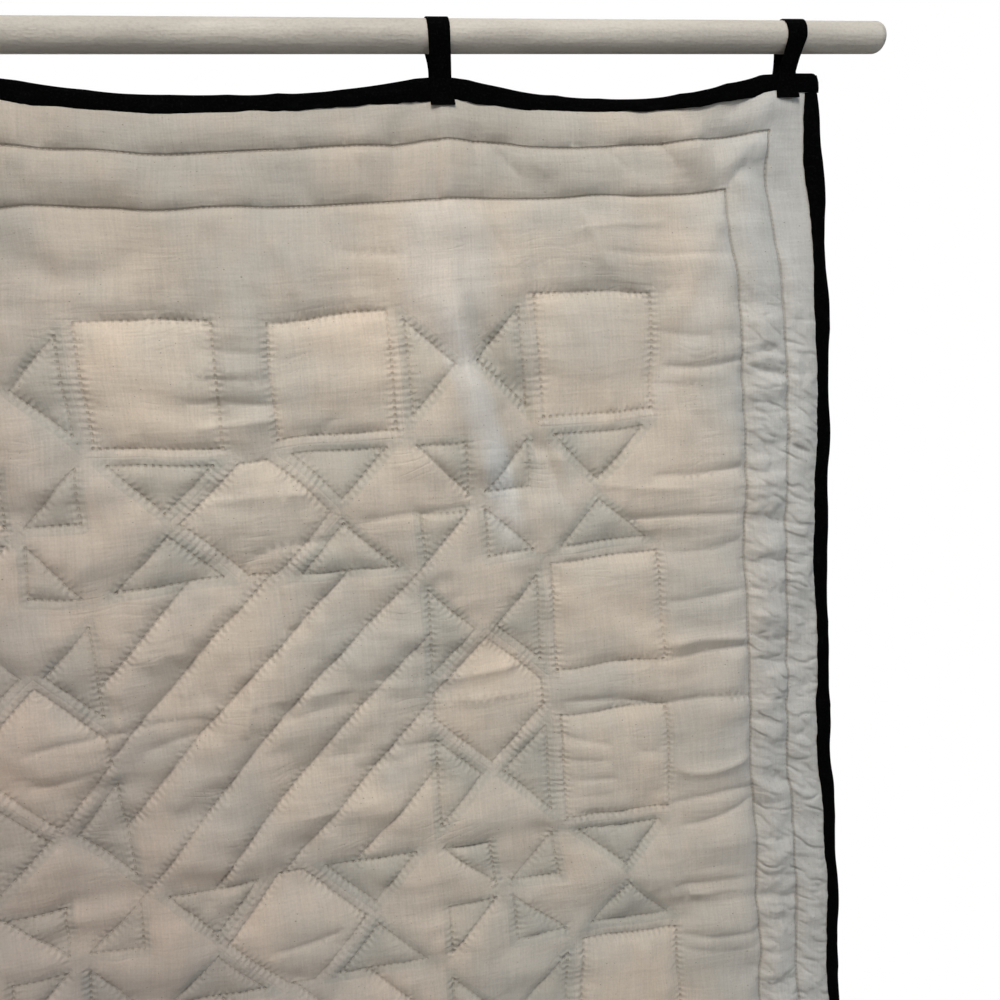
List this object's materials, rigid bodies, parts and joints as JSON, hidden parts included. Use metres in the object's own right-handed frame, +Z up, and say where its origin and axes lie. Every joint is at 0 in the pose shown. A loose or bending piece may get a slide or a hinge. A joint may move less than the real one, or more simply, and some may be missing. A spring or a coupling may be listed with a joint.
{
  "type": "quilted wall hanging on a pole",
  "caption": "Square whole-cloth quilt with a dark folded binding, hung from a painted wooden pole by flat tape tabs sewn over its top edge.",
  "frame": {"origin": "middle of the pole's axis, where the pole is held", "axes": "+X along the pole, +Z up, the quilt's face towards -Y"},
  "size_m": [1.372, 0.0278, 1.3137],
  "materials": {
    "quilt_cotton": "unbleached plain-weave cotton, matt, hand quilted",
    "black_cotton": "black plain-weave cotton and flat tape, matt",
    "pole_paint": "wood brushed with off-white satin paint"
  },
  "bodies": {
    "root": {"pole": "pole_paint", "quilt": "quilt_cotton", "binding_top": "black_cotton", "binding_bottom": "black_cotton", "binding_left": "black_cotton", "binding_right": "black_cotton", "tab_1": "black_cotton", "tab_2": "black_cotton", "tab_3": "black_cotton", "tab_4": "black_cotton", "tab_5": "black_cotton"}
  },
  "joints": []
}
